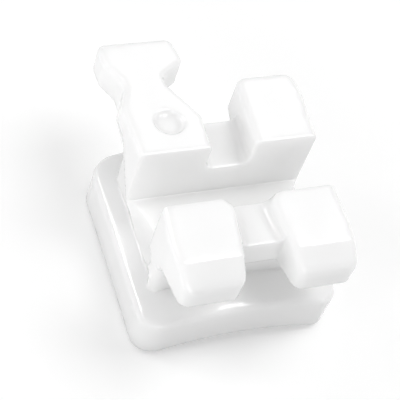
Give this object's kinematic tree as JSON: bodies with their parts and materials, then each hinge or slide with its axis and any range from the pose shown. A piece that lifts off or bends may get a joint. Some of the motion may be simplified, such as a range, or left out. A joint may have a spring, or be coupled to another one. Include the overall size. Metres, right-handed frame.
{
  "type": "orthodontic bracket",
  "caption": "Tie-wing orthodontic bracket of translucent ceramic, with an archwire slot, a hook on one wing and an arched bonding pad.",
  "frame": {"origin": "crown of the bonding pad's arched underside, under the middle of the slot", "axes": "+X along the archwire slot, +Y towards the hook, +Z out of the tooth towards the wing tops"},
  "size_m": [0.0036, 0.0051, 0.0027],
  "materials": {
    "ceramic": "polished translucent white ceramic"
  },
  "bodies": {
    "root": {"bracket": "ceramic"}
  },
  "joints": []
}
